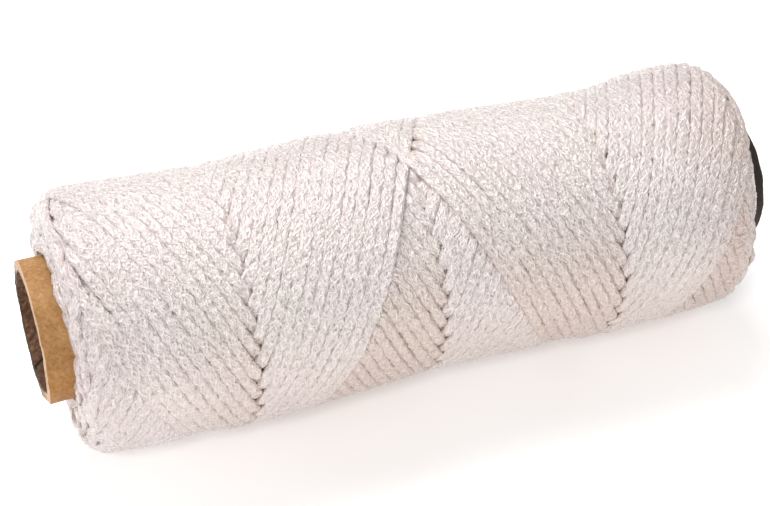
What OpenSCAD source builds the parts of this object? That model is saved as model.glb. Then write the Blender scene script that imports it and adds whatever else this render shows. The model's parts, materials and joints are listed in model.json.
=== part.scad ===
// Reel of braided nylon line, cross-wound on a spiral paper core and lying on its side.
// Millimetres. X runs along the core, Z is up, and the origin is the centre of the core's bore.

/* [Paper core] */
// Bore of the core
core_bore_d = 25.4; // [20:0.1:40]
// Length of bare core that shows past each end of the winding
core_stub = 5; // [2:0.1:30]
// Thickness of the smooth liner ply that faces the bore
liner_t = 0.35; // [0.2:0.05:1]
// Thickness of each board ply
board_t = 0.375; // [0.2:0.025:1]
// Thickness of the brown kraft ply outside
kraft_t = 0.3; // [0.2:0.05:1]
// Glue line between two plies
glue_t = 0.05; // [0.02:0.01:0.1]

/* [Winding] */
// Length of the winding along the core
wind_l = 153.6; // [110:0.1:220]
// Diameter over the crossings of the outer turns, at the full ends of the winding
wind_d = 56.4; // [50:0.1:80]
// How much the winding's radius falls at its waist
waist_depth = 1.2; // [0:0.1:3]
// Distance of the waist from the middle of the winding, towards +X
waist_x = 20; // [-20:1:20]
// Half the length of the waist
waist_half_l = 42; // [20:1:45]
// Radius of the rounded shoulders at the ends of the buried layers
shoulder_r = 6; // [3:0.5:7]
// Gap between the core and the first layer of string
core_fit = 0.05; // [0.02:0.01:0.1]

/* [String] */
// Width of the string, which lies flattened under its tension
cord_w = 2.4; // [1.2:0.1:2.6]
// Thickness of the flattened string
cord_t = 1.5; // [1:0.1:2]
// Clearance between the outer turns and the layers under them
seat_gap = 0.35; // [0.33:0.01:0.5]
// Clearance where one turn crosses over another
cross_gap = 0.47; // [0.43:0.01:0.8]
// How far round the shoulder the string runs before it turns back
turn_down = 35; // [10:1:50]
// Turn of the reel, each side of a turning point, in which the string swings round
turn_sweep = 52; // [40:1:70]

/* [Hidden] */

core_l = wind_l + 2 * core_stub;
ply_step = board_t + glue_t;
board_r = core_bore_d / 2 + liner_t + glue_t;
kraft_r = board_r + 4 * ply_step;
core_r = kraft_r + kraft_t;

// The outer layer is laid in double traverses, there and back, and each lies a sixth of a turn
// from the one before, so that after the last one the crossings have filled the reel once.
passes = 6;
strokes = 2 * passes;
lines_per_turn = 2 * passes;          // lines along the reel on which crossings lie
line_step = 360 / lines_per_turn;     // turn of the reel from one crossing to the next
stroke_lines = 4 * passes - 1;        // crossings that one stroke spans, from end to end
turns_per_stroke = stroke_lines / lines_per_turn;
last_line = strokes * stroke_lines;

// Levels of the string's middle over the buried layers: lying on them, or over a crossing turn.
low_lift = seat_gap + cord_t / 2;
cross_rise = cord_t + cross_gap;
layer_t = seat_gap + cord_t + cross_rise;

buried_r = wind_d / 2 - layer_t;
shoulder_x = wind_l / 2 - shoulder_r;
lay_r = shoulder_r + low_lift;
reach = shoulder_x + lay_r * turn_down * PI / 180;
lead = reach / (turns_per_stroke / 2 - turn_sweep / 720);
sharp_reach = lead * turns_per_stroke / 2;

// The first turning point is at the top, so a line of crossings lies along the bottom too.
top = 90;
crossing_flat = 0.2;                  // share of line_step that runs level each side of a crossing
tail = 0.7;                           // share of line_step from an end of the string to its crossing
rest_cut = (cord_w + cord_t) / 20;    // a tenth of the string's diameter
cord_sides = 6;
profile_steps = 12;
shoulder_steps = 8;

kraft = [0.71, 0.53, 0.34];
board = [0.52, 0.40, 0.28];
liner = [0.36, 0.26, 0.17];
string = [0.93, 0.90, 0.88];
string_shade = [0.80, 0.76, 0.73];

function clamp(v, low, high) = max(low, min(high, v));
function wrap(v, n) = ((v % n) + n) % n;

// ---- The layers' outer surface, as a radius at each place along the winding

function waist(x) =
    let (d = clamp((x - waist_x) / waist_half_l, -1, 1))
    waist_depth * (1 + cos(180 * d)) / 2;

function layer_r(x) = buried_r - waist(x);

// The point [x, radius] that lies lift over the surface at u, a length along it from the middle.
function over_surface(u, lift) =
    let (
        side = sign(u),
        past = abs(u) - shoulder_x,
        turn = past / lay_r * 180 / PI
    )
    past <= 0
        ? [u, layer_r(u) + lift]
        : [
            side * (shoulder_x + (shoulder_r + lift) * sin(turn)),
            layer_r(side * shoulder_x) - shoulder_r + (shoulder_r + lift) * cos(turn)
        ];

// ---- The string's route. A line is a place in the winding's time: the reel turns by line_step
// from one to the next, and a whole number is a crossing.

function stroke_of(line) = clamp(floor(line / stroke_lines), 0, strokes - 1);

function angle_of(line) = top - line * line_step;

// Distance along the surface from the sharp turning point, at an angle from it.
function from_turn(a) =
    a < turn_sweep
        ? lead / 720 * (a * a + turn_sweep * turn_sweep) / turn_sweep
        : lead * a / 360;

function place_of(line) =
    let (
        s = stroke_of(line),
        done = line - s * stroke_lines,
        starting = done < stroke_lines / 2,
        a = (starting ? done : stroke_lines - done) * line_step,
        heading = s % 2 == 0 ? 1 : -1
    )
    (starting ? -heading : heading) * (sharp_reach - from_turn(a));

// Whether the string is the later one, and so the upper one, at a crossing: 1 or 0. At a turning
// point there is no crossing, and the level is the mean of its neighbours.
function rise_at(line) =
    let (
        s = stroke_of(line),
        done = line - s * stroke_lines,
        pass = floor(s / 2),
        other = s % 2 == 0 ? wrap(pass - 1 - done, passes) : wrap(pass - done, passes)
    )
    done == 0 && line > 0 && line < last_line
        ? (rise_at(line - 1) + rise_at(line + 1)) / 2
        : (s % 2 == 0 ? pass > other : pass >= other) ? 1 : 0;

function lift_of(line) =
    let (near = clamp(round(line), 1, last_line - 1), off = abs(line - near))
    low_lift + (off > 2 * crossing_flat ? 0 : cross_rise * rise_at(near));

function middle_of(line) =
    let (
        p = over_surface(place_of(line), lift_of(line)),
        a = angle_of(line)
    )
    [p[0], p[1] * cos(a), p[1] * sin(a)];

// The direction away from the layers under the string.
function up_of(line) =
    let (
        low = over_surface(place_of(line), 0),
        high = over_surface(place_of(line), 1),
        a = angle_of(line)
    )
    [high[0] - low[0], (high[1] - low[1]) * cos(a), (high[1] - low[1]) * sin(a)];

// Two rings stand at each crossing, so the string is level there and ramps in between.
ring_lines = [
    1 - tail,
    for (n = [1:last_line - 1], side = [-1, 1]) n + side * crossing_flat,
    last_line - 1 + tail
];
rings = len(ring_lines);

function unit(v) = v / norm(v);

function ring_at(n, middles) =
    let (
        before = middles[max(n - 1, 0)],
        after = middles[min(n + 1, rings - 1)],
        along = unit(after - before),
        across = unit(cross(along, up_of(ring_lines[n]))),
        up = cross(across, along)
    )
    [
        for (k = [0:cord_sides - 1])
            let (a = k * 360 / cord_sides)
            middles[n] + across * cord_w / 2 * cos(a) + up * cord_t / 2 * sin(a) / sin(60)
    ];

// The least gap between the string and its other turns, taken at every ring and half way to the
// next: the distance between two sections, less what each reaches towards the other.
function mean(points) = points * [for (p = points) 1 / len(points)];

function reach_of(section, centre, way) = max([for (p = section) (p - centre) * way]);

function gap_between(a, b) =
    let (ca = a[0], cb = b[0], way = unit(cb - ca))
    norm(cb - ca) - reach_of(a[1], ca, way) - reach_of(b[1], cb, -way);

function least_gap(loops) =
    let (
        halves = [for (n = [0:rings - 2]) (loops[n] + loops[n + 1]) / 2],
        sections = [
            for (n = [0:rings - 2], s = [loops[n], halves[n]])
                [[for (i = [0:2]) mean([for (p = s) p[i]])], s]
        ],
        turn = 4 * lines_per_turn,
        count = len(sections)
    )
    min([
        for (n = [0:count - 1], m = [n + turn - 2:turn:count - 3], d = [0:4])
            if (norm(sections[n][0] - sections[min(m + d, count - 1)][0]) < 3 * cord_w)
                gap_between(sections[n], sections[min(m + d, count - 1)])
    ]);

module tube(r_in, r_out, length) {
    rotate([0, 90, 0])
        difference() {
            cylinder(r = r_out, h = length, center = true, $fn = 96);
            cylinder(r = r_in, h = length + 2, center = true, $fn = 96);
        }
}

module core_liner_ply() {
    color(liner) tube(core_bore_d / 2, core_bore_d / 2 + liner_t, core_l);
}

module core_board_ply(n) {
    color(board) tube(board_r + n * ply_step, board_r + n * ply_step + board_t, core_l);
}

module core_kraft_ply() {
    color(kraft) tube(kraft_r, core_r, core_l);
}

// The layers that the outer turns hide: full at the ends, waisted, with rounded shoulders.
module string_buried_layers() {
    end_x = wind_l / 2;
    body = [
        for (n = [0:profile_steps])
            let (x = shoulder_x * (1 - 2 * n / profile_steps))
            [layer_r(x), x]
    ];
    shoulder = [
        for (n = [0:shoulder_steps - 1])
            let (a = 90 * n / shoulder_steps)
            [layer_r(shoulder_x) - shoulder_r * (1 - sin(a)), end_x - shoulder_r * (1 - cos(a))]
    ];
    shoulder_back = [
        for (n = [1:shoulder_steps])
            let (a = 90 * n / shoulder_steps)
            [layer_r(-shoulder_x) - shoulder_r * (1 - cos(a)), -end_x + shoulder_r * (1 - sin(a))]
    ];
    inner = core_r + core_fit;
    color(string_shade)
        rotate([0, 90, 0])
            rotate_extrude($fn = 96)
                polygon(concat([[inner, end_x]], shoulder, body, shoulder_back, [[inner, -end_x]]));
}

// The last layer, one unbroken string that is cut flat where the reel rests on it.
module string_outer_turns() {
    middles = [for (line = ring_lines) middle_of(line)];
    loops = [for (n = [0:rings - 1]) ring_at(n, middles)];
    side_faces = [
        for (n = [0:rings - 2], k = [0:cord_sides - 1])
            let (
                here = n * cord_sides,
                next = here + cord_sides,
                k2 = (k + 1) % cord_sides
            )
            each [[here + k, here + k2, next + k2], [here + k, next + k2, next + k]]
    ];
    last = (rings - 1) * cord_sides;
    end_faces = [
        for (k = [1:cord_sides - 2])
            each [[0, k + 1, k], [last, last + k, last + k + 1]]
    ];
    rest_z = -(wind_d / 2 * cos(crossing_flat * line_step) - rest_cut);
    echo(least_gap_mm = least_gap(loops), turns = (last_line - 2 + 2 * tail) / lines_per_turn);
    color(string)
        difference() {
            polyhedron([for (loop = loops) each loop], concat(side_faces, end_faces));
            translate([-wind_l / 2, -wind_d / 2, rest_z - wind_d])
                cube([wind_l, wind_d, wind_d]);
        }
}

core_liner_ply();
core_board_ply(0);  // core_board_ply_1
core_board_ply(1);  // core_board_ply_2
core_board_ply(2);  // core_board_ply_3
core_board_ply(3);  // core_board_ply_4
core_kraft_ply();
string_buried_layers();
string_outer_turns();
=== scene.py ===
import json
import math

import bpy
import numpy as np
from mathutils import Matrix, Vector
from mathutils.kdtree import KDTree


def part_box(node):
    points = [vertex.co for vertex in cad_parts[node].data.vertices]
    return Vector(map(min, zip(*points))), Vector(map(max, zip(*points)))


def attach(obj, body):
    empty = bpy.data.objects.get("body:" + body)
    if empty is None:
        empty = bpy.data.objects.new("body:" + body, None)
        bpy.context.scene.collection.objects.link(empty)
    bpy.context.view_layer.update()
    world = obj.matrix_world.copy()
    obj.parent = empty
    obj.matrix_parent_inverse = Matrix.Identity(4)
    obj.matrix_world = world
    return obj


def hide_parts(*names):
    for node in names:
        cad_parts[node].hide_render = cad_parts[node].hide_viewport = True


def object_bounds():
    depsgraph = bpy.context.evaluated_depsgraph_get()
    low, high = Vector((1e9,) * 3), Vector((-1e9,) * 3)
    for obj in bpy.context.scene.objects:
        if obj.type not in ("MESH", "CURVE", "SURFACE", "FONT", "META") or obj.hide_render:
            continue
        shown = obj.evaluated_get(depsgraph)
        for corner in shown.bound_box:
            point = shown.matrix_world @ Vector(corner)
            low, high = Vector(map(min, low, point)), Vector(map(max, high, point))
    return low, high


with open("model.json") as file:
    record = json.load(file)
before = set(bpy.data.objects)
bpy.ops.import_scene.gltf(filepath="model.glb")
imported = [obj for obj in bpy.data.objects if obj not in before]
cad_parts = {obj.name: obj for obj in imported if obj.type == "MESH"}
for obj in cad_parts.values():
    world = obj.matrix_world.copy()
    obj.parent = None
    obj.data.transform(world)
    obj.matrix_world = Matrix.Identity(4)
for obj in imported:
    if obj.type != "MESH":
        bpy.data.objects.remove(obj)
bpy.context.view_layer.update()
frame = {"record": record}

# Lengths are in millimetres up to the meshes, and angles round the reel in degrees: 90 is the
# top, 0 is +Y and 180 is the front. X runs along the core. The materials take places in metres,
# and lengths along the string and along the paper strips in millimetres.
MM = 0.001
ROOT = "root"

# ---- Sizes taken from the frame

CORE_HIGH = np.array(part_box("core_kraft_ply")[1]) / MM
PACK_HIGH = np.array(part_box("string_buried_layers")[1]) / MM
CORE_HALF_L = CORE_HIGH[0]
CORE_R = CORE_HIGH[2]
BORE_R = frame["record"]["mounts"][0]["dims"]["r_mm"]
WIND_HALF_L = PACK_HIGH[0]

# ---- The string and how it is laid

STRING_W = 3.0            # width of the flattened string
STRING_T = 1.6            # its thickness
PASSES = 30               # double traverses, there and back, in the last layer
STROKES = 2 * PASSES
STROKE = 360 * (2 - 1 / (2 * PASSES))   # turn of the reel in one stroke
TURNED = STROKES * STROKE
SWEEP = 52                # turn, each side of a turning point, in which the string swings round
REACH = WIND_HALF_L - 1.7               # distance of the turning points from the middle
LEAD = REACH / (STROKE / 720 - SWEEP / 720)   # length laid in one turn, away from the sweeps
SHARP = LEAD * STROKE / 720             # where the turning points would lie without the sweeps
TOP = 98                  # where the first turning point lies, and the last crossing line's apex
CENTRE_X = -0.9           # the winding's crossings lie a little off the middle
SHOULDER_R = 6.0          # rounding of the winding's ends
SHOULDER_X = WIND_HALF_L - SHOULDER_R
QUARTER = SHOULDER_R * math.pi / 2
RIM_R = 28.2              # radius of the winding at its ends, over the string

# Radius over the string, by the share of the layer that was laid when the string on top was:
# what was laid last lies highest.
LAID = [0.0, 0.4, 0.6, 0.75, 1.0]
LAID_R = [26.5, 27.0, 27.85, 28.35, 28.5]
LAST_FALLS = [1.1, 0.45, 0.75, 0.2, 0.4]   # how far the last strokes settle, the very last first
LAST_BLEND = 12           # samples over which that sets in
WAIST_DEPTH, WAIST_X, WAIST_HALF_L = 0.7, 24.0, 45.0
DIP_DEPTH, DIP_X, DIP_HALF_L, DIP_AT = 0.8, 50, 7, 50   # a shallow dent near the right end
LOW_SIDE, LOW_FALL = 220, 0.3           # the winding stands a little further out on one side

SAMPLE_TURN = 1.7         # degrees between samples of the route
FINE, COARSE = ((0.25, 1.4))   # ring spacing, seen and hidden
MAX_RINGS = 4500          # rings in one mesh piece

# Angles round the string's section, closer on the side that shows
SECTION = np.radians(np.concatenate([np.linspace(-15, 195, 17), np.linspace(195, 345, 7)[1:-1]]))
SIDES = len(SECTION)

# The braid: two bundles of filaments on the side that shows, which cross and part again, so that
# they look like the links of a chain
LINK = 3.7                # length along the string from one crossing to the next
SPREAD = 0.62             # how far each bundle swings out, as a share of half the width
BUNDLE = 0.25             # half a bundle's width, likewise
RELIEF = 0.17             # height of a bundle over the gaps between them
FUZZ = 0.04               # how uneven the filaments leave the surface
RING_TONE, FILAMENT_TONE, FLECK_TONE = 0.48, 1.6, 0.6    # their shares in the colour, where the rings and flecks are partly painted highlights
BUMP_DEPTH = 0.0003       # depth of the filaments, in metres

# Painted glints and bump depth: how far apart the braid's light and dark colour stand, by height
# between two levels, in metres
PAINTED_GLINT_LEVELS = (-0.004, 0.0285)
PAINTED_GLINTS_AND_BUMPS = [
    (0.0, 0.6), (0.12, 0.65), (0.36, 1.05), (0.6, 1.4), (0.74, 1.4), (0.84, 1.0), (0.94, 0.75),
]


def noise(x, scale, seed):
    """Smooth noise from -1 to 1 along x, with one bump in about each scale."""
    knots = np.random.default_rng(seed).uniform(-1, 1, 4096)
    t = np.asarray(x, float) / scale
    i = np.floor(t).astype(int)
    f = t - i
    f = f * f * (3 - 2 * f)
    return knots[i % 4096] * (1 - f) + knots[(i + 1) % 4096] * f


def smoothstep(x, low, high):
    t = np.clip((x - low) / (high - low), 0, 1)
    return t * t * (3 - 2 * t)


def smoothed(values, sigma):
    """A Gaussian mean along the samples."""
    reach = int(4 * sigma) + 1
    k = np.exp(-0.5 * (np.arange(-reach, reach + 1) / sigma) ** 2)
    padded = np.pad(values, reach, mode="edge")
    return np.convolve(padded, k / k.sum(), mode="valid")


def unit(v):
    return v / np.maximum(np.linalg.norm(v, axis=-1, keepdims=True), 1e-12)


# ---- The winding's outer surface

def laid_share(x, theta):
    """How late the forward and the backward turns that pass here were laid, from 0 to 1."""
    along = 360 * (x - CENTRE_X) / LEAD
    return ((theta - TOP + along) / 360) % 1, ((theta - TOP - along) / 360) % 1


def outer_r(x, laid):
    d = np.clip((x - WAIST_X) / WAIST_HALF_L, -1, 1)
    return np.interp(laid, LAID, LAID_R) - WAIST_DEPTH * (1 + np.cos(np.pi * d)) / 2


def toward(theta, middle):
    """How far an angle faces a direction, from 0 to 1."""
    return np.clip(np.cos(np.radians(theta - middle)), 0, 1)


def end_bulge(side, rho, theta):
    """How far the ends of the winding stand out from flat, by radius and angle. The right one
    stands out at the upper back and falls in at the front, and the left one stands out by the
    core."""
    near_core = 1 - smoothstep(rho, 17, 21.5)
    right = 1.1 * toward(theta, 48) * smoothstep(rho, 16, 22)
    right = right - 1.9 * toward(theta, 168) ** 2 - toward(theta, 222) * near_core
    left = 1.4 * toward(theta, 62) * near_core
    return np.where(side > 0, right, left)


def on_surface(u, theta, r, depth=0.0):
    """The point at u, a length along the winding's outer surface from its middle, over the
    shoulders and down the ends, and the direction out of the surface."""
    side = np.sign(u)
    past = np.abs(u) - SHOULDER_X
    turn = np.clip(past / SHOULDER_R, 0, np.pi / 2)
    down = np.maximum(past - QUARTER, 0)
    rho = r - SHOULDER_R * (1 - np.cos(turn)) - down - depth * np.cos(turn)
    bulge = end_bulge(side, rho, theta) * smoothstep(past, -10, SHOULDER_R)
    x = side * (np.minimum(np.abs(u), SHOULDER_X) + (SHOULDER_R - depth) * np.sin(turn) + bulge)
    low = LOW_FALL * (1 + np.cos(np.radians(theta - LOW_SIDE)))
    dip = DIP_DEPTH * np.exp(-(((x - DIP_X) / DIP_HALF_L) ** 2)) * toward(theta, DIP_AT)
    rho = rho + (low - dip) * smoothstep(rho, 16, 24)
    a = np.radians(theta)
    out = np.cos(turn)
    point = np.stack([x, rho * np.cos(a), rho * np.sin(a)], -1)
    normal = np.stack([side * np.sin(turn), out * np.cos(a), out * np.sin(a)], -1)
    return point, normal


# ---- The route of the last layer

def from_sharp(a):
    """Distance from the sharp turning point, at a degrees of turn from it."""
    return np.where(a < SWEEP, LEAD / 720 * (a * a + SWEEP * SWEEP) / SWEEP, LEAD * a / 360)


GOLDEN = 0.618034         # spreads the slips evenly
SLIP = 1.7 * ((np.arange(STROKES + 1) * GOLDEN) % 1) + 0.6   # how far each turn slips outward


def route(turned):
    """Place along the surface, angle, and stroke, once the reel has turned so far."""
    stroke = np.clip(np.floor(turned / STROKE), 0, STROKES - 1).astype(int)
    done = turned - stroke * STROKE
    starting = done < STROKE / 2
    a = np.where(starting, done, STROKE - done)
    heading = np.where(stroke % 2 == 0, 1, -1)
    side = np.where(starting, -heading, heading)
    slip = SLIP[stroke + np.where(starting, 0, 1)] * np.exp(-((a / 30) ** 2))
    wander = 0.1 * noise(turned, 26, 1) + 0.06 * noise(turned, 9, 2)
    u = side * (SHARP - from_sharp(a) + slip) + CENTRE_X * smoothstep(a, 20, 120) + wander
    return u, TOP - turned, stroke


# ---- Turns of the earlier layers, where they come to the surface on the winding's ends

END_ARCS = 110            # on each end
ARC_HALF = 34             # degrees each side of the middle of one
ARC_STEP = 19.3           # degrees from one to the next
ARC_SAMPLES = 48
ARC_SUNK = 2.0            # how deep both tips of one are sunk
FILL_HALF, FILL_TOP, FILL_SUNK = 16, 10, 0.6   # one more turn, under a seam: degrees and depth
FILL_X, FILL_TILT, FILL_AT = 72.4, 0.12, 66    # and where it lies on the left shoulder


def end_arcs(side):
    """For each turn on an end: place along the surface, angle and how deep it lies."""
    face_r = RIM_R - SHOULDER_R
    lowest = CORE_R + STRING_T / 2 + 0.3
    arcs = []
    rng = np.random.default_rng(11 if side > 0 else 12)
    for n in range(END_ARCS):
        share = n / (END_ARCS - 1)
        rho = lowest + (face_r + 5.6 - lowest) * share + rng.uniform(-0.6, 0.6)
        rho = max(rho, lowest)
        if rho < face_r:
            u0 = SHOULDER_X + QUARTER + face_r - rho
        else:
            u0 = SHOULDER_X + SHOULDER_R * math.acos(min((rho - face_r) / SHOULDER_R, 1))
        half = ARC_HALF * rng.uniform(0.8, 1.2) * 20 / rho
        a = np.linspace(-half, half, ARC_SAMPLES)
        tilt = rng.uniform(-0.7, 0.7)
        u = u0 + tilt * a / half - 0.5 * (a / half) ** 2 + 0.25 * noise(a + 90 * n, 14, 13)
        u = np.minimum(u, SHOULDER_X + QUARTER + face_r - lowest)
        theta = TOP + ARC_STEP * n + a + 40 * (side < 0)
        sunk = ARC_SUNK * smoothstep(np.abs(a), 0.72 * half, half)
        arcs.append((side * u, theta, sunk))
    return arcs


# ---- Which turn lies on which

MOST_COVER = 2.3          # thicknesses


def cover_depths(points, times):
    """How deep each sample is pushed under the later turns that cover it, in thicknesses. Samples
    that were laid within a small turn of the reel belong to one and the same covering turn."""
    near, far = 0.36 * STRING_W, 0.72 * STRING_W
    own = 12.0
    tree = KDTree(len(points))
    for i, p in enumerate(points):
        tree.insert(p, i)
    tree.balance()
    found = np.zeros(len(points))
    for i, p in enumerate(points):
        later = sorted(
            (times[j], d) for _, j, d in tree.find_range(p, far) if times[j] > times[i] + own
        )
        total, last, best = 0.0, None, 0.0
        for t, d in later:
            if last is not None and t > last + own:
                total, best = total + best, 0.0
            best = max(best, 1 - min(max((d - near) / (far - near), 0), 1))
            last = t
        found[i] = min(total + best, MOST_COVER)
    return found


samples = np.arange(0, TURNED + 1e-6, SAMPLE_TURN)
u, theta, stroke = route(samples)
base, _ = on_surface(u, theta, np.full(len(u), RIM_R))
points, times = [base], [samples]
arcs = {side: end_arcs(side) for side in (-1, 1)}
fill = np.linspace(-FILL_HALF, FILL_HALF, ARC_SAMPLES)
fill_sunk = FILL_SUNK + ARC_SUNK * smoothstep(np.abs(fill), FILL_TOP, FILL_HALF)
arcs[-1].append((-(FILL_X + FILL_TILT * fill), FILL_AT + fill, fill_sunk))
for side, found in arcs.items():
    for n, (au, at, _) in enumerate(found):
        points.append(on_surface(au, at, np.full(len(au), RIM_R))[0])
        times.append(np.linspace(0, 60, len(au)) - 1e6 + 1000 * n)
covers = cover_depths(np.concatenate(points), np.concatenate(times))

# The string's first and last bit are tucked under their neighbours.
cover = covers[: len(samples)]
cover = np.maximum(cover, 1.5 * (1 - smoothstep(samples, 5, 45)))
cover = np.maximum(cover, 1.4 * (1 - smoothstep(TURNED - samples, 2, 14)))
cover = smoothed(cover, 1.3)
forward, backward = laid_share(base[:, 0], theta)
own_share = (stroke // 2 + 0.5) / PASSES
laid = np.where(stroke % 2 == 0, np.maximum(own_share, backward), np.maximum(own_share, forward))
top_r = smoothed(outer_r(base[:, 0], laid), 2.0) + 0.1 * noise(samples, 18, 3)
for back, fall in enumerate(LAST_FALLS, 1):
    top_r -= smoothed(fall * (stroke == STROKES - back), LAST_BLEND)


# ---- Meshes

def new_mesh(name, verts, faces, smooth=True):
    """A mesh object from arrays, with faces of four corners."""
    me = bpy.data.meshes.new(name)
    me.vertices.add(len(verts))
    me.vertices.foreach_set("co", (np.asarray(verts) * MM).astype(np.float32).ravel())
    faces = np.asarray(faces, np.int32)
    me.loops.add(faces.size)
    me.loops.foreach_set("vertex_index", faces.ravel())
    me.polygons.add(len(faces))
    me.polygons.foreach_set("loop_start", np.arange(0, faces.size, 4, dtype=np.int32))
    me.polygons.foreach_set("use_smooth", np.full(len(faces), smooth))
    me.update(calc_edges=True)
    obj = bpy.data.objects.new(name, me)
    bpy.context.scene.collection.objects.link(obj)
    return obj


def add_attribute(obj, name, values, kind="FLOAT"):
    layer = obj.data.attributes.new(name, kind, "POINT")
    field = "value" if kind == "FLOAT" else "vector"
    layer.data.foreach_set(field, np.asarray(values, np.float32).ravel())


def add_uv(obj, name, uv):
    layer = obj.data.uv_layers.new(name=name)
    layer.uv.foreach_set("vector", np.asarray(uv, np.float32).ravel())


def bundle_places(along):
    """How far across the string, from -1 to 1, each of the two bundles lies."""
    turn = np.pi * (along / LINK + 0.4 * noise(along, 3.5, 21))
    swing = np.cos(turn)
    swing = np.sign(swing) * np.abs(swing) ** 0.65
    spread = SPREAD * (1 + 0.4 * noise(along, 3.5, 22))
    drift = 0.12 * noise(along, 4, 23)
    return drift + spread * swing, drift - spread * swing


def braid(first, second, across):
    """Height of the braid's surface, from 0 in a gap to 1 on a bundle."""
    return np.maximum(
        np.exp(-(((across - first) / BUNDLE) ** 2)), np.exp(-(((across - second) / BUNDLE) ** 2))
    )


def rounded_square(v):
    """Pulls a section's sine or cosine out toward a square's corners."""
    return np.sign(v) * np.abs(v) ** 0.78


def tube(points, ups, along, width, thick):
    """Vertices of a braided tube, ring by ring."""
    tangent = unit(np.gradient(points, axis=0))
    across = unit(np.cross(tangent, ups))
    up = np.cross(across, tangent)
    c, s = np.cos(SECTION), np.sin(SECTION)
    first, second = bundle_places(along)
    width = width * (0.9 + 0.14 * np.abs(first - second) / (2 * SPREAD))
    half_w, half_t = (width / 2)[:, None], (thick / 2)[:, None]
    h = braid(first[:, None], second[:, None], c[None, :]) * smoothstep(s, -0.1, 0.3)
    h = h * (0.75 + 0.35 * noise(along, 1.6, 24))[:, None]
    fuzz = np.random.default_rng(int(along[0] * 100) + 7).normal(size=h.shape)
    lift = RELIEF * (h - 0.6) + FUZZ * (fuzz + np.roll(fuzz, 1, axis=0))
    out_w, out_t = c[None, :] / half_w, s[None, :] / half_t
    length = np.hypot(out_w, out_t)
    x = half_w * rounded_square(c) + lift * out_w / length
    y = half_t * rounded_square(s) + lift * out_t / length
    return points[:, None] + x[..., None] * across[:, None] + y[..., None] * up[:, None]


def string_object(name, runs):
    """One mesh of capped tubes. A run is (points, ups, along, width, thick). The UV map has a
    string laid out in rows that fill the square."""
    verts, faces, sides, bundles, across, leans, bake_uv = [], [], [], [], [], [], []
    quads = sum(len(r[0]) for r in runs)
    perimeter = STRING_W * 2.6
    per_row = max(8, int(math.sqrt(quads * perimeter / FINE)))
    rows = quads // per_row + len(runs) + 1
    at = first = 0
    k = np.arange(SIDES)
    for points, ups, along, width, thick in runs:
        v = tube(points, ups, along, width, thick)
        n = len(points)
        verts.append(v.reshape(-1, 3))
        sides.append(np.tile(smoothstep(np.sin(SECTION), -0.45, 0.15), n))
        spots = [np.broadcast_to(v[:, None], (n, SIDES)) for v in (*bundle_places(along), along)]
        bundles.append(np.stack(spots, -1).reshape(-1, 3))
        across.append(np.tile(np.cos(SECTION), n))
        lean = smoothstep(-unit(np.gradient(points, axis=0))[:, 0], -0.05, 0.3)
        leans.append(np.repeat(lean, SIDES))
        i = np.arange(n - 1)[:, None]
        here, there = first + i * SIDES, first + (i + 1) * SIDES
        k2 = (k + 1) % SIDES
        faces.append(np.stack([here + k, there + k, there + k2, here + k2], -1).reshape(-1, 4))
        v0, v1 = k / SIDES, (k + 1) / SIDES
        ones = np.ones((n - 1, SIDES))
        place = at + i
        col = (place % per_row) / per_row
        row = place // per_row
        step = 1 / per_row
        w0, w1 = (row + 0.02 + 0.96 * v0) / rows, (row + 0.02 + 0.96 * v1) / rows
        c0, c1 = col * ones, (col + step) * ones
        bake_uv.append(np.stack([c0, w0, c1, w0, c1, w1, c0, w1], -1).reshape(-1, 8))
        for ring, flip in ((first, False), (first + (n - 1) * SIDES, True)):
            for j in range(SIDES // 2 - 1):
                cap = [ring + j, ring + j + 1, ring + SIDES - 2 - j, ring + SIDES - 1 - j]
                cap = cap[::-1] if flip else cap
                faces.append(np.array([cap]))
                bake_uv.append(np.array([[0.0, 0.0, 0.0, 1e-3, 1e-3, 1e-3, 1e-3, 0.0]]))
        first += n * SIDES
        at += n
    obj = new_mesh(name, np.concatenate(verts), np.concatenate(faces))
    add_attribute(obj, "upper", np.concatenate(sides))
    add_uv(obj, "OFBake", np.concatenate(bake_uv))
    add_attribute(obj, "across", np.concatenate(across))
    add_attribute(obj, "lean", np.concatenate(leans))
    add_attribute(obj, "bundles", np.concatenate(bundles), "FLOAT_VECTOR")
    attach(obj, ROOT)
    return obj


# ---- The last layer: rings close together where the string shows, and apart where it is hidden

seen = smoothed((cover < 0.85).astype(float), 1.5) > 0.02
step = np.where(seen, FINE, COARSE)
flat, _ = on_surface(u, theta, top_r, STRING_T * (0.5 + cover))
length = np.concatenate([[0], np.cumsum(np.linalg.norm(np.diff(flat, axis=0), axis=1))])
ring_no = np.concatenate([[0], np.cumsum(np.diff(length) / step[:-1])])
rings = np.interp(np.arange(0, ring_no[-1]), ring_no, samples)

ru, rtheta, _ = route(rings)
r_top = np.interp(rings, samples, top_r)
r_cover = np.interp(rings, samples, cover)
along = np.interp(rings, samples, length)
width = STRING_W * (1 + 0.05 * noise(along, 7, 5))
thick = STRING_T * (1 + 0.05 * noise(along, 5, 6))
rpoint, rup = on_surface(ru, rtheta, r_top, STRING_T * (0.5 + r_cover))

string_pieces = []
cuts = list(range(0, len(rings), MAX_RINGS)) + [len(rings)]
for n, (a, b) in enumerate(zip(cuts[:-1], cuts[1:])):
    b = min(b + 1, len(rings))
    run = tuple(x[a:b] for x in (rpoint, rup, along, width, thick))
    obj = string_object(f"string_outer_turns_{n + 1}", [run])
    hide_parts("string_outer_turns")
    string_pieces.append(obj)
print("string:", round(length[-1] / 1000, 2), "m,", len(rings), "rings,", len(cuts) - 1, "pieces")

# ---- The turns on the ends, and the plain pack under all that shows

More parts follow.
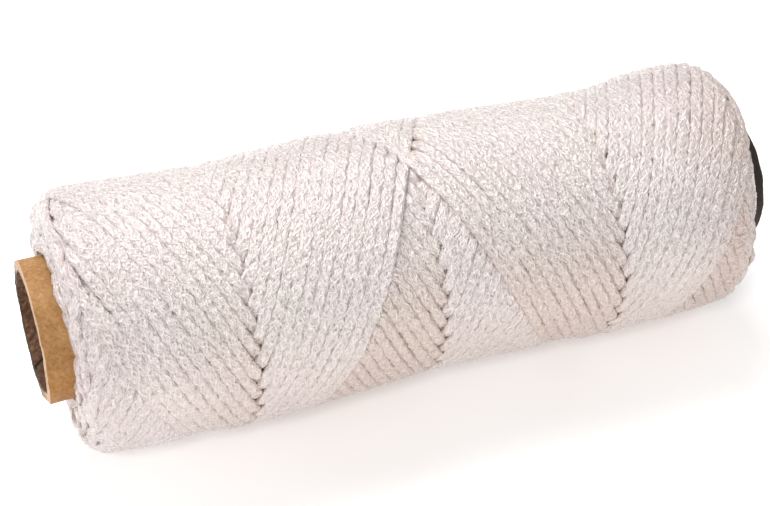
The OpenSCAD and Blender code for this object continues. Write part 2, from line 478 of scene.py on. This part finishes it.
at = len(samples)
for side, found in arcs.items():
    runs = []
    for n, (au, atheta, sunk) in enumerate(found):
        deep = smoothed(np.maximum(covers[at : at + len(au)], 0), 1.5)
        at += len(au)
        depth = STRING_T * (0.5 + 0.45 * deep * (n < END_ARCS)) + sunk
        fine = np.linspace(0, len(au) - 1, int(len(au) * 0.6 / FINE * 0.5) + 8)
        spots = np.arange(len(au))
        u2, t2, d2 = (np.interp(fine, spots, v) for v in (au, atheta, depth))
        p, up = on_surface(u2, t2, np.full(len(u2), RIM_R), d2)
        s = np.concatenate([[0], np.cumsum(np.linalg.norm(np.diff(p, axis=0), axis=1))]) + 11 * n
        runs.append((p, up, s, np.full(len(s), STRING_W * 0.92), np.full(len(s), STRING_T)))
    name = "right" if side > 0 else "left"
    for half_no, half_runs in enumerate((runs[0::2], runs[1::2])):
        obj = string_object(f"string_end_turns_{name}_{half_no + 1}", half_runs)
        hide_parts("string_buried_layers")
        string_pieces.append(obj)


PACK_SIDES = 180
PACK_END = SHOULDER_X + QUARTER + 6.4   # where the pack's ends reach the core, along its surface
PACK_UNDER, PACK_RISE = 3.3, 1.2        # its depth under the surface, less at the shoulders


def pack_object():
    """The layers that nothing shows of, a little under the turns that do."""
    count = PACK_SIDES
    theta = np.linspace(0, 360, count, endpoint=False)
    us = np.concatenate([
        [-PACK_END],
        -SHOULDER_X - np.linspace(QUARTER, 0, 7),
        np.linspace(-SHOULDER_X, SHOULDER_X, 141)[1:-1],
        SHOULDER_X + np.linspace(0, QUARTER, 7),
        [PACK_END],
    ])
    rows = []
    for v in us:
        f, b = laid_share(np.full(count, v), theta)
        r = outer_r(np.full(count, v), np.maximum(f, b)) if abs(v) < SHOULDER_X else RIM_R
        rise = PACK_RISE * float(smoothstep(abs(v), SHOULDER_X - 6, SHOULDER_X + 2))
        under = PACK_UNDER - rise
        rows.append(on_surface(np.full(count, v), theta, r, under)[0])
    rows = [rows[0] * [1, 0, 0] + unit(rows[0] * [0, 1, 1]) * (CORE_R + 0.02)] + rows
    rows += [rows[-1] * [1, 0, 0] + unit(rows[-1] * [0, 1, 1]) * (CORE_R + 0.02)]
    verts = np.concatenate(rows)
    n = len(rows)
    i, k = np.arange(n)[:, None], np.arange(count)[None, :]
    i2, k2 = (i + 1) % n, (k + 1) % count
    faces = np.stack([i * count + k, i * count + k2, i2 * count + k2, i2 * count + k], -1)
    obj = new_mesh("string_pack_painted_shade", verts, faces.reshape(-1, 4))
    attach(obj, ROOT)
    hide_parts("string_buried_layers")
    return obj


pack = pack_object()


# ---- The core's plies, each a closed strip of paper wound into a tube

STRIP_LEAD = 92.0         # length of core in one turn of the paper strips
RIM_EDGE = 0.12           # rounding of a ply's cut edges
NICK_DEPTH, NICK_AT, NICK_HALF = 0.55, 229, 14   # a bit that is missing from the left end
SEAMS = {"core_liner_ply": 239.0, "core_kraft_ply": 275}   # where they pass the core's middle
LINER_SEAM_HALF, KRAFT_SEAM_HALF = 0.45, 0.3     # half a seam's width
SEAM_DEPTH, LAP_RISE, LAP_WIDTH = 0.16, 0.05, 1.5   # a groove, and the strip's lap beside it
CREASES = np.radians([27, 55])   # from the liner's seam to the creases beside it
CREASE_SHARE, CREASE_HALF = 0.45, 0.35           # of the seam's depth and darkening, painted shade in the creases, and half its width
PLIES = ["core_liner_ply", "core_board_ply_1", "core_board_ply_2", "core_board_ply_3",
         "core_board_ply_4", "core_kraft_ply"]


def ply_object(name, r_in, r_out, seed, seam_at=None):
    """One ply, with an uneven cut at each end. The strip's seam, where it shows, runs round the
    tube as a helix, and so do the mesh's lengthwise lines."""
    shear = 0 if seam_at is None else 360 / STRIP_LEAD
    steps = np.concatenate([np.linspace(-5, 5, 31), np.linspace(5, 355, 260)[1:-1]])
    half, e = CORE_HALF_L - 0.1, RIM_EDGE
    corner = np.radians(np.linspace(0, 90, 4))
    end = [(half - e + e * math.sin(a), r_in + e - e * math.cos(a)) for a in corner]
    end += [(half - e + e * math.cos(a), r_out - e + e * math.sin(a)) for a in corner]
    inside = np.linspace(-half + 1.2, half - 1.2, 150 if shear else 12)
    near_end = np.array([0.16, 0.4, 0.8])
    inside = np.concatenate([-half + near_end, inside, half - near_end[::-1]])
    rows = [(x, r_in, 0) for x in inside] + [(x, r, 1) for x, r in end]
    rows += [(x, r_out, 0) for x in inside[::-1]] + [(-x, r, 1) for x, r in end[::-1]]
    x, r, at_end = (np.array(v)[:, None] for v in zip(*rows))
    theta = steps[None, :] + shear * x + (seam_at or 0)
    cut = 0.1 * noise(theta % 360, 12, seed) + 0.05 * noise(theta % 360, 3.6, seed + 1)
    dent = 0.22 * noise(theta % 360, 36, 77) + 0.1 * noise(theta % 360, 12, 78)
    r = r + dent * smoothstep(np.abs(x), half - 4.5, half) + 0 * theta
    nick = NICK_DEPTH * np.exp(-(((theta % 360 - NICK_AT) / NICK_HALF) ** 2))
    missing = nick * smoothstep(-x, half - 4.5, half)
    x = x + cut * smoothstep(np.abs(x), half - 1.2, half - e) * np.sign(x) + missing
    off = np.radians((steps + 180) % 360 - 180)[None, :] * r
    seam_half = LINER_SEAM_HALF if name == PLIES[0] else KRAFT_SEAM_HALF
    seam = np.exp(-((off / seam_half) ** 2)) * (1 if shear else 0)
    if name == PLIES[0]:
        creases = sum(np.exp(-(((off - c * r) / CREASE_HALF) ** 2)) for c in CREASES)
        seam = seam + CREASE_SHARE * creases
    lap = np.exp(-np.clip(off, 0, None) / LAP_WIDTH) * (off > 0) * (1 if shear else 0)
    outward = np.where(r > (r_in + r_out) / 2, 1, -1)
    shows = (outward > 0) == (r_out > CORE_R - 0.5)
    r = r + outward * shows * (LAP_RISE * lap - SEAM_DEPTH * seam)
    a = np.radians(theta)
    verts = np.stack([x, r * np.cos(a), r * np.sin(a)], -1).reshape(-1, 3)
    n, count = theta.shape
    i, k = np.arange(n)[:, None], np.arange(count)[None, :]
    i2, k2 = (i + 1) % n, (k + 1) % count
    faces = np.stack([i * count + k, i2 * count + k, i2 * count + k2, i * count + k2], -1)
    obj = new_mesh(name + "_paper", verts, faces.reshape(-1, 4))
    add_attribute(obj, "seam", seam)
    add_attribute(obj, "rim", at_end + 0 * theta)
    pitch = math.atan2(STRIP_LEAD, 2 * math.pi * CORE_R)
    round_it = np.radians(theta) * CORE_R
    strip = [round_it * math.cos(pitch) + x * math.sin(pitch),
             x * math.cos(pitch) - round_it * math.sin(pitch), r + 0 * theta]
    add_attribute(obj, "strip", np.stack(strip, -1), "FLOAT_VECTOR")
    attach(obj, ROOT)
    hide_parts(name)
    return obj


ply_r = [BORE_R] + [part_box(name)[1].z / MM for name in PLIES]
plies = []
for n, name in enumerate(PLIES):
    plies.append(ply_object(name, ply_r[n], ply_r[n + 1] - 0.01, 31 + 3 * n, SEAMS.get(name)))


# ---- Materials

def material(name):
    m = bpy.data.materials.new(name)
    m.use_nodes = True
    nt = m.node_tree
    nt.nodes.clear()
    out = nt.nodes.new("ShaderNodeOutputMaterial")
    shader = nt.nodes.new("ShaderNodeBsdfPrincipled")
    nt.links.new(shader.outputs[0], out.inputs[0])
    return m, nt, shader


def node(nt, kind, inputs=None, **settings):
    n = nt.nodes.new("ShaderNode" + kind)
    for key, value in settings.items():
        setattr(n, key, value)
    for key, value in (inputs or {}).items():
        socket = n.inputs[key]
        if isinstance(value, bpy.types.NodeSocket):
            nt.links.new(value, socket)
        else:
            socket.default_value = value
    return n


def ramp(nt, fac, stops):
    n = node(nt, "ValToRGB", {0: fac})
    elements = n.color_ramp.elements
    while len(elements) < len(stops):
        elements.new(0.5)
    for e, (at, colour) in zip(elements, stops):
        e.position = at
        e.color = (*colour, 1)
    return n.outputs[0]


def maths(nt):
    return lambda op, *values: node(nt, "Math", dict(enumerate(values)), operation=op).outputs[0]


def attribute(nt, name, output="Fac"):
    return node(nt, "Attribute", attribute_name=name).outputs[output]


def mapped(nt, value, low, high, to_low=0.0, to_high=1.0):
    """Goes from to_low to to_high while the value goes from low to high."""
    inputs = {0: value, 1: low, 2: high, 3: to_low, 4: to_high}
    return node(nt, "MapRange", inputs).outputs[0]


def mixed(nt, factor, a, b, blend="MIX"):
    inputs = {"Factor": factor, "A": a, "B": b}
    return node(nt, "Mix", inputs, data_type="RGBA", blend_type=blend).outputs["Result"]


def pattern(nt, x, y, detail=2, seed=0.0):
    """Noise over two coordinates, from 0 to 1."""
    spot = node(nt, "CombineXYZ", {0: x, 1: y, 2: seed}).outputs[0]
    return node(nt, "TexNoise", {"Vector": spot, "Scale": 1, "Detail": detail}).outputs[0]


def blotches(nt, place, scale, detail):
    """Noise over space, from 0 to 1."""
    return node(nt, "TexNoise", {"Vector": place, "Scale": scale, "Detail": detail}).outputs[0]


FILAMENT_SLANT = 0.38     # radians off the string's own direction
FILAMENT_MEAN = 0.56      # of the two slants' larger noise
TONE_PIVOT = 0.15         # the tone that the painted glints' contrast leaves as it is
YARN_COLOURS = [
    (0.0, (0.42, 0.36, 0.33)), (0.22, (0.66, 0.59, 0.575)),
    (0.5, (0.83, 0.77, 0.76)), (0.78, (0.98, 0.95, 0.945)),
]
# Painted shade: the string's sides, down in the grooves between turns, darker and more olive
GROOVE_SHADE_COLOURS = [
    (0.1, (0.44, 0.37, 0.22)), (0.35, (0.74, 0.67, 0.54)), (0.8, (0.93, 0.90, 0.87)),
]
BROAD_TINTS = [(0.38, (1.0, 0.962, 0.93)), (0.62, (1.0, 0.95, 0.95))]
# Painted shade for the string's low front and its leaning turns
PAINTED_LOW_SHADE = (0.88, 0.79, 0.72, 1)
# Painted shade at the winding's ends, most at the right, from its left end to its right end
PAINTED_END_SHADES = [
    (0.02, (0.86, 0.83, 0.85)), (0.12, (1, 1, 1)),
    (0.84, (1, 1, 1)), (0.97, (0.79, 0.71, 0.68)),
]


def string_material():
    """Nylon braid: two bundles that cross, showing in places as rings and broken into glints, over
    filaments that slant both ways. Its colour holds painted highlights on the rings and glints,
    and painted shade low down and at the ends."""
    m, nt, shader = material("braided_nylon")
    math_node = maths(nt)
    spots = node(nt, "SeparateXYZ", {0: attribute(nt, "bundles", "Vector")})
    first, second, along = spots.outputs
    across, upper = attribute(nt, "across"), attribute(nt, "upper")
    place = node(nt, "TexCoord").outputs["Object"]
    x, y, z = node(nt, "SeparateXYZ", {0: place}).outputs

    def bundle(at, seed):
        """A bundle's height, broken where it dips."""
        off = math_node("DIVIDE", math_node("SUBTRACT", across, at), BUNDLE * 0.8)
        near = math_node("EXPONENT", math_node("MULTIPLY", math_node("MULTIPLY", off, off), -1))
        dips = pattern(nt, math_node("MULTIPLY", along, 0.9), seed, 2, seed)
        return math_node("MULTIPLY", near, mapped(nt, dips, 0.38, 0.62))

    def slanted(slant, seed):
        """Short filaments that run along the string at a slant."""
        side = math_node("MULTIPLY", across, STRING_W / 2)
        c, s = math.cos(slant), math.sin(slant)
        down = math_node("MULTIPLY_ADD", side, s, math_node("MULTIPLY", along, c))
        over = math_node("MULTIPLY_ADD", side, c, math_node("MULTIPLY", along, -s))
        return pattern(
            nt, math_node("MULTIPLY", down, 0.7), math_node("MULTIPLY", over, 2.4), 1, seed
        )

    # The braid, from its rings down to its flecks, and how light it is: partly its own texture,
    # partly painted highlights on the rings and flecks and painted shade in the gaps
    height = math_node("MAXIMUM", bundle(first, 3.0), bundle(second, 8.0))
    clear = mapped(nt, blotches(nt, place, 95, 2), 0.36, 0.6, 0.35)
    height = math_node("MULTIPLY", height, clear)
    filaments = math_node("MAXIMUM", slanted(FILAMENT_SLANT, 15.0), slanted(-FILAMENT_SLANT, 25.0))
    filaments = math_node("SUBTRACT", filaments, FILAMENT_MEAN)
    flecks = pattern(
        nt, math_node("MULTIPLY", along, 2.2), math_node("MULTIPLY", across, 3.8), 2, 5.0
    )
    flecks = math_node("SUBTRACT", flecks, 0.5)
    tone = math_node("MULTIPLY_ADD", height, RING_TONE, 0.43)
    tone = math_node("MULTIPLY_ADD", filaments, FILAMENT_TONE, tone)
    tone = math_node("MULTIPLY_ADD", flecks, FLECK_TONE, tone)
    # Painted glints: the colour's light and dark stand furthest apart at mid height, and the bumps
    # follow
    painted_glints_and_bumps = ramp(nt, mapped(nt, z, *PAINTED_GLINT_LEVELS), [(at, (c, c, c)) for at, c in PAINTED_GLINTS_AND_BUMPS])
    tone = math_node("MULTIPLY_ADD", math_node("SUBTRACT", tone, TONE_PIVOT), painted_glints_and_bumps, TONE_PIVOT)
    colour = mixed(nt, upper, ramp(nt, tone, GROOVE_SHADE_COLOURS), ramp(nt, tone, YARN_COLOURS))
    tint = ramp(nt, blotches(nt, place, 75, 3), BROAD_TINTS)
    colour = mixed(nt, 1.0, colour, tint, "MULTIPLY")

    # Painted shade: darker and beige low down, more on turns that lean, less by the left end, and
    # less toward the back
    low = mapped(nt, z, 0.013, -0.007, 0.0, 0.35)
    painted_lean_shade = mapped(nt, z, 0.024, 0.008, 0.0, 0.65)
    low = math_node("MULTIPLY_ADD", painted_lean_shade, attribute(nt, "lean"), low)
    middle = mapped(nt, x, -0.06, -0.03, 0.3)
    front = mapped(nt, y, 0.012, -0.012, 0.3)
    low = math_node("MULTIPLY", math_node("MULTIPLY", low, middle), front)
    # Painted shade at both ends of the winding, less toward the back
    painted_end_shade = ramp(nt, mapped(nt, x, -0.08, 0.08), PAINTED_END_SHADES)
    colour = mixed(nt, low, colour, PAINTED_LOW_SHADE, "MULTIPLY")
    colour = mixed(nt, front, colour, painted_end_shade, "MULTIPLY")
    nt.links.new(colour, shader.inputs["Base Color"])

    bumps = math_node("MULTIPLY_ADD", filaments, 2.4, math_node("MULTIPLY", height, 0.7))
    bumps = math_node("MULTIPLY_ADD", flecks, 1.2, bumps)
    bumps = math_node("MULTIPLY", bumps, painted_glints_and_bumps)
    bump = node(nt, "Bump", {"Height": bumps, "Strength": 0.9, "Distance": BUMP_DEPTH})
    nt.links.new(bump.outputs[0], shader.inputs["Normal"])
    nt.links.new(bump.outputs[0], shader.inputs["Coat Normal"])
    shader.inputs["Coat Weight"].default_value = 1.0
    shader.inputs["Coat Roughness"].default_value = 0.2
    shader.inputs["Coat IOR"].default_value = 1.9
    shader.inputs["Specular IOR Level"].default_value = 0.6
    nt.links.new(mapped(nt, flecks, -0.2, 0.2, 0.4, 0.17), shader.inputs["Roughness"])
    return m


def painted_shade_pack_material():
    m, nt, shader = material("string_pack_painted_shade")
    place = node(nt, "TexCoord").outputs["Object"]
    # Painted shade: the buried string is coloured dark brown-grey for the shade in the gaps where
    # it shows
    tones = [(0.35, (0.36, 0.30, 0.24)), (0.65, (0.72, 0.66, 0.60))]
    nt.links.new(ramp(nt, blotches(nt, place, 400, 2), tones), shader.inputs["Base Color"])
    shader.inputs["Roughness"].default_value = 0.8
    return m


TONE_STOPS = (0.15, 0.45, 0.6, 0.85)    # where a paper's four colours stand, from dark to light


def paper_material(name, colours, fibre, seam_dark):
    """Paper with fibres along its strip, mottling, and a dark line at its seam."""
    m, nt, shader = material(name)
    math_node = maths(nt)
    strip = node(nt, "SeparateXYZ", {0: attribute(nt, "strip", "Vector")}).outputs
    place = node(nt, "TexCoord").outputs["Object"]
    fibres = pattern(
        nt, math_node("MULTIPLY", strip[0], fibre[0]), math_node("MULTIPLY", strip[1], fibre[1]), 4
    )
    mottle, broad = blotches(nt, place, 1300, 4), blotches(nt, place, 150, 4)
    tone = 0.5
    for part, share in ((fibres, 0.55), (mottle, 0.7), (broad, 0.6)):
        tone = math_node("MULTIPLY_ADD", math_node("SUBTRACT", part, 0.5), share, tone)
    colour = ramp(nt, tone, list(zip(TONE_STOPS, colours)))
    dark = tuple(v * seam_dark for v in colours[0])
    # The seam's dark line is the joint's own; in the liner's creases the same darkening is painted
    # shade
    seam = math_node("MULTIPLY", attribute(nt, "seam"), 0.9)
    colour = mixed(nt, seam, colour, (*dark, 1))
    nt.links.new(mapped(nt, tone, 0.2, 0.8, 0.8, 0.55), shader.inputs["Roughness"])
    bump = node(nt, "Bump", {"Height": tone, "Strength": 0.5, "Distance": 0.0001})
    nt.links.new(bump.outputs[0], shader.inputs["Normal"])
    return m, nt, shader, colour, place


def dark_edge(nt, colour, place):
    """The low far side of the cut ends, coloured dark."""
    math_node = maths(nt)
    toward_it = (0, math.cos(math.radians(318)), math.sin(math.radians(318)))
    far = node(nt, "VectorMath", {0: place, 1: toward_it}, operation="DOT_PRODUCT")
    far = mapped(nt, far.outputs["Value"], 2 * MM, 8 * MM, 0.0, 0.92)
    far_rim_dark = math_node("MULTIPLY", attribute(nt, "rim"), far)
    return mixed(nt, far_rim_dark, colour, (0.02, 0.012, 0.008, 1))


def board_material():
    colours = [(0.36, 0.23, 0.15), (0.60, 0.42, 0.29), (0.68, 0.49, 0.36), (0.80, 0.62, 0.48)]
    m, nt, shader, colour, place = paper_material("board_ply", colours, (1.6, 5.0), 0.25)
    nt.links.new(dark_edge(nt, colour, place), shader.inputs["Base Color"])
    return m


def liner_material():
    colours = [
        (0.025, 0.010, 0.005), (0.115, 0.048, 0.021), (0.19, 0.086, 0.042), (0.40, 0.22, 0.12),
    ]
    m, nt, shader, colour, place = paper_material("liner_ply", colours, (0.6, 2.4), 0.1)
    nt.links.new(dark_edge(nt, colour, place), shader.inputs["Base Color"])
    return m


def kraft_material():
    """Kraft paper, warmer and darker low down as painted shade, worn pale at its cut edges, and
    near black at the right end as a painted shadow.
    """
    colours = [(0.22, 0.10, 0.025), (0.40, 0.20, 0.062), (0.47, 0.25, 0.085), (0.62, 0.37, 0.16)]
    m, nt, shader, colour, place = paper_material("kraft_ply", colours, (0.5, 5.0), 0.4)
    math_node = maths(nt)
    x, _, z = node(nt, "SeparateXYZ", {0: place}).outputs
    # Painted shade: darker and warmer low down on the tube
    painted_kraft_shade = ramp(nt, mapped(nt, z, -CORE_R * MM, CORE_R * MM), [
        (0.1, (0.91, 0.84, 0.70)), (0.42, (0.90, 0.80, 0.60)), (0.8, (0.96, 0.96, 1.0)),
    ])
    colour = mixed(nt, 1.0, colour, painted_kraft_shade, "MULTIPLY")
    # Painted shadow: the core's right stub, in the winding's shadow, is coloured near black
    painted_stub_shadow = mapped(nt, x, (WIND_HALF_L - 1.5) * MM, WIND_HALF_L * MM)
    colour = mixed(nt, math_node("MULTIPLY", painted_stub_shadow, 0.97), colour, (0.012, 0.008, 0.006, 1))
    worn = math_node("MULTIPLY", attribute(nt, "rim"), 0.75)
    colour = mixed(nt, worn, colour, (0.70, 0.50, 0.36, 1))
    nt.links.new(dark_edge(nt, colour, place), shader.inputs["Base Color"])
    return m


liner, board, kraft = liner_material(), board_material(), kraft_material()
for obj, paper in zip(plies, [liner] + [board] * 4 + [kraft]):
    obj.data.materials.append(paper)
nylon = string_material()
for obj in string_pieces:
    obj.data.materials.append(nylon)
pack.data.materials.append(painted_shade_pack_material())

# ---- Stage, light and camera

FLOOR_HALF = 3000.0
WORLD_STRENGTH = 0.45
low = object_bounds()[0].z


def stage():
    """A white floor that the reel lies on, which glows a little, and more so away from it."""
    corners = [(-1, -1), (1, -1), (1, 1), (-1, 1)]
    verts = np.array([[x * FLOOR_HALF, y * FLOOR_HALF, low / MM] for x, y in corners])
    floor = new_mesh("floor", verts, [[0, 1, 2, 3]], smooth=False)
    m, nt, shader = material("floor_white")
    place = node(nt, "TexCoord").outputs["Object"]
    tones = [(0.3, (0.92, 0.92, 0.92)), (0.7, (0.94, 0.94, 0.94))]
    nt.links.new(ramp(nt, blotches(nt, place, 30, 2), tones), shader.inputs["Base Color"])
    away = node(nt, "VectorMath", {0: place}, operation="LENGTH").outputs["Value"]
    shader.inputs["Emission Color"].default_value = (1, 1, 1, 1)
    nt.links.new(mapped(nt, away, 0.05, 0.15, 0.28, 0.5), shader.inputs["Emission Strength"])
    shader.inputs["Roughness"].default_value = 0.9
    floor.data.materials.append(m)


stage()

world = bpy.data.worlds.new("studio")
bpy.context.scene.world = world
world.use_nodes = True
background = world.node_tree.nodes["Background"]
background.inputs[0].default_value = (1, 1, 1, 1)
background.inputs[1].default_value = WORLD_STRENGTH


def placed(name, data, axes, at):
    """An object in the scene, from its three axes and its place, in metres."""
    obj = bpy.data.objects.new(name, data)
    bpy.context.scene.collection.objects.link(obj)
    rows = np.stack(axes, 1)
    obj.matrix_world = Matrix([(*row, p) for row, p in zip(rows, at)] + [(0, 0, 0, 1)])
    return obj


def area_light(name, at, size, power, colour=(1, 1, 1)):
    """A lamp that faces the middle of the reel."""
    data = bpy.data.lights.new(name, "AREA")
    data.shape = "RECTANGLE"
    data.size, data.size_y = size
    data.energy = power
    data.color = colour
    back = unit(np.array(at, float))
    right = unit(np.cross([0, 0, 1], back))
    placed(name, data, [right, np.cross(back, right), back], at)


area_light("top", (-0.12, 0.3, 0.6), (0.5, 0.3), 3.75)
area_light("front", (-0.3, -0.38, 0.48), (0.12, 0.12), 1.4, (1, 0.965, 0.925))

# The camera, from the rims of the core, the winding's edges and the crossing lines
CAMERA_AT = (-114.2, -254.2, 249.2)
AZIMUTH, ELEVATION, ROLL = 23.42, 42.0, 3.39
LENS, SENSOR = 80.0, 36.0


def camera():
    az, el, roll = (math.radians(v) for v in (AZIMUTH, ELEVATION, ROLL))
    back = np.array([-math.sin(az) * math.cos(el), -math.cos(az) * math.cos(el), math.sin(el)])
    right = unit(np.cross(-back, [0, 0, 1]))
    up = np.cross(right, -back)
    rolled_right = math.cos(roll) * right + math.sin(roll) * up
    rolled_up = -math.sin(roll) * right + math.cos(roll) * up
    data = bpy.data.cameras.new("camera")
    data.lens, data.sensor_width, data.sensor_fit = LENS, SENSOR, "HORIZONTAL"
    data.clip_start, data.clip_end = 0.01, 20
    at = [v * MM for v in CAMERA_AT]
    bpy.context.scene.camera = placed("camera", data, [rolled_right, rolled_up, back], at)


camera()
bpy.context.scene.view_settings.view_transform = "Standard"
